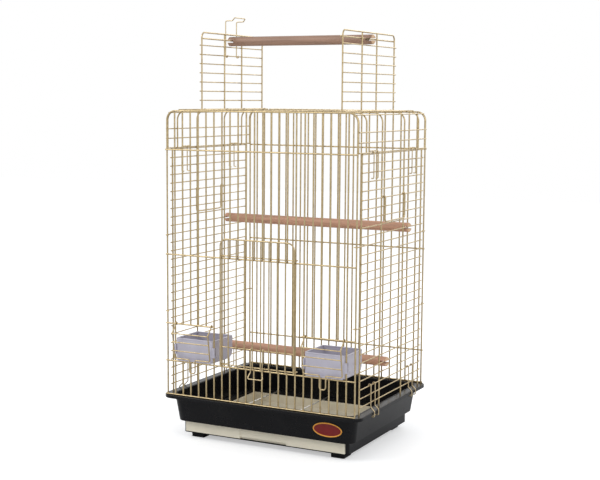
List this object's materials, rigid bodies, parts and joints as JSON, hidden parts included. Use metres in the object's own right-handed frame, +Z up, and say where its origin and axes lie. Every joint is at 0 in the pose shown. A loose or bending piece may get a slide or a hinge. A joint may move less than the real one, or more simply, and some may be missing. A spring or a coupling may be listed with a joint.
{
  "type": "bird cage",
  "caption": "Wire bird cage with a roof that opens in two flaps, wooden perches, feeder doors with cups, a sliding door and a slide-out drawer in a moulded base",
  "frame": {"origin": "on the floor, between the four feet, under the middle of the whole box", "axes": "+X towards the right-hand feeder seen from the front, -Y out of the front wall, +Z up"},
  "size_m": [0.4424, 0.3672, 0.8491],
  "materials": {
    "cage_wire": "polished",
    "door_wire": "polished",
    "clip_wire": "polished",
    "bright_wire": "polished",
    "base_plastic": "satin",
    "foot_plastic": "satin",
    "badge": "gloss",
    "drawer_plastic": "satin",
    "cup_plastic": "satin",
    "perch_wood": "satin"
  },
  "bodies": {
    "root": {"base_tub": "base_plastic", "feet": "foot_plastic", "badge_plate": "badge", "floor_rods": "bright_wire", "front_frame": "cage_wire", "front_bars": "cage_wire", "front_rails": "cage_wire", "rear_frame": "cage_wire", "rear_bars": "cage_wire", "rear_rails": "cage_wire", "side_rows_left": "cage_wire", "side_posts_left": "cage_wire", "corner_hooks_left": "cage_wire", "side_rows_right": "cage_wire", "side_posts_right": "cage_wire", "corner_hooks_right": "cage_wire", "roof_arches": "cage_wire", "roof_ribs": "cage_wire", "hinge_rods": "cage_wire", "roof_wires": "cage_wire", "roof_strips": "cage_wire", "perch_upper": "perch_wood", "perch_lower": "perch_wood", "perch_top": "perch_wood", "feeder_cup_left": "cup_plastic", "feeder_cup_right": "cup_plastic"},
    "drawer": {"drawer": "drawer_plastic"},
    "main_door": {"main_door_frame": "door_wire", "main_door_bars": "door_wire", "main_door_guides": "door_wire", "main_door_brace": "door_wire"},
    "main_door_catch": {"main_door_catch": "clip_wire"},
    "feeder_door_left": {"feeder_door_frame_left": "door_wire", "feeder_door_bars_left": "door_wire"},
    "feeder_door_right": {"feeder_door_frame_right": "door_wire", "feeder_door_bars_right": "door_wire"},
    "roof_flap_left": {"roof_flap_frame_left": "cage_wire", "roof_flap_bars_left": "cage_wire", "roof_flap_rows_left": "cage_wire", "perch_rod_left": "cage_wire"},
    "roof_flap_right": {"roof_flap_frame_right": "cage_wire", "roof_flap_bars_right": "cage_wire", "roof_flap_rows_right": "cage_wire", "perch_rod_right": "cage_wire"},
    "roof_hook": {"roof_hook": "clip_wire"},
    "handle_left": {"handle_left": "clip_wire"},
    "handle_right": {"handle_right": "clip_wire"},
    "roof_clip_front_left": {"roof_clip_front_left": "clip_wire"},
    "tray_clip_front_left": {"tray_clip_front_left": "clip_wire"},
    "roof_clip_front_right": {"roof_clip_front_right": "clip_wire"},
    "tray_clip_front_right": {"tray_clip_front_right": "clip_wire"},
    "roof_clip_rear_left": {"roof_clip_rear_left": "clip_wire"},
    "tray_clip_rear_left": {"tray_clip_rear_left": "clip_wire"},
    "roof_clip_rear_right": {"roof_clip_rear_right": "clip_wire"},
    "tray_clip_rear_right": {"tray_clip_rear_right": "clip_wire"}
  },
  "joints": [
    {"name": "drawer_slide", "type": "slide", "parent": "root", "child": "drawer", "axis": [0, -1, 0], "range_m": [0, 0.26]},
    {"name": "main_door_slide", "type": "slide", "parent": "root", "child": "main_door", "axis": [0, 0, 1], "range_m": [0, 0.195]},
    {"name": "main_door_catch_swing", "type": "hinge", "parent": "main_door", "child": "main_door_catch", "pos_m": [0, -0.16637, 0.201], "axis": [-1, 0, 0], "range_deg": [0, 70]},
    {"name": "feeder_door_left_swing", "type": "hinge", "parent": "root", "child": "feeder_door_left", "pos_m": [-0.144, -0.16552, 0.237], "axis": [-1, 0, 0], "range_deg": [0, 105]},
    {"name": "feeder_door_right_swing", "type": "hinge", "parent": "root", "child": "feeder_door_right", "pos_m": [0.144, -0.16552, 0.237], "axis": [-1, 0, 0], "range_deg": [0, 105]},
    {"name": "roof_flap_left_swing", "type": "hinge", "parent": "root", "child": "roof_flap_left", "pos_m": [-0.15, 0.00513, 0.66305], "axis": [0, -1, 0], "range_deg": [0, 50]},
    {"name": "roof_flap_right_swing", "type": "hinge", "parent": "root", "child": "roof_flap_right", "pos_m": [0.15, 0.00513, 0.66305], "axis": [0, 1, 0], "range_deg": [0, 50]},
    {"name": "roof_hook_swing", "type": "hinge", "parent": "roof_flap_left", "child": "roof_hook", "pos_m": [-0.15595, 0.00513, 0.77105], "axis": [0, -1, 0], "range_deg": [0, 95]},
    {"name": "handle_left_swing", "type": "hinge", "parent": "root", "child": "handle_left", "pos_m": [-0.20975, 0.00513, 0.499], "axis": [0, 1, 0], "range_deg": [0, 150]},
    {"name": "handle_right_swing", "type": "hinge", "parent": "root", "child": "handle_right", "pos_m": [0.20975, 0.00513, 0.499], "axis": [0, -1, 0], "range_deg": [0, 150]},
    {"name": "roof_clip_front_left_slide", "type": "slide", "parent": "root", "child": "roof_clip_front_left", "axis": [0, 0, 1], "range_m": [0, 0.008]},
    {"name": "tray_clip_front_left_swing", "type": "hinge", "parent": "root", "child": "tray_clip_front_left", "pos_m": [-0.20975, -0.08987, 0.142], "axis": [0, 1, 0], "range_deg": [0, 60]},
    {"name": "roof_clip_front_right_slide", "type": "slide", "parent": "root", "child": "roof_clip_front_right", "axis": [0, 0, 1], "range_m": [0, 0.008]},
    {"name": "tray_clip_front_right_swing", "type": "hinge", "parent": "root", "child": "tray_clip_front_right", "pos_m": [0.20975, -0.08987, 0.142], "axis": [0, -1, 0], "range_deg": [0, 60]},
    {"name": "roof_clip_rear_left_slide", "type": "slide", "parent": "root", "child": "roof_clip_rear_left", "axis": [0, 0, 1], "range_m": [0, 0.008]},
    {"name": "tray_clip_rear_left_swing", "type": "hinge", "parent": "root", "child": "tray_clip_rear_left", "pos_m": [-0.20975, 0.10013, 0.142], "axis": [0, 1, 0], "range_deg": [0, 60]},
    {"name": "roof_clip_rear_right_slide", "type": "slide", "parent": "root", "child": "roof_clip_rear_right", "axis": [0, 0, 1], "range_m": [0, 0.008]},
    {"name": "tray_clip_rear_right_swing", "type": "hinge", "parent": "root", "child": "tray_clip_rear_right", "pos_m": [0.20975, 0.10013, 0.142], "axis": [0, -1, 0], "range_deg": [0, 60]}
  ]
}
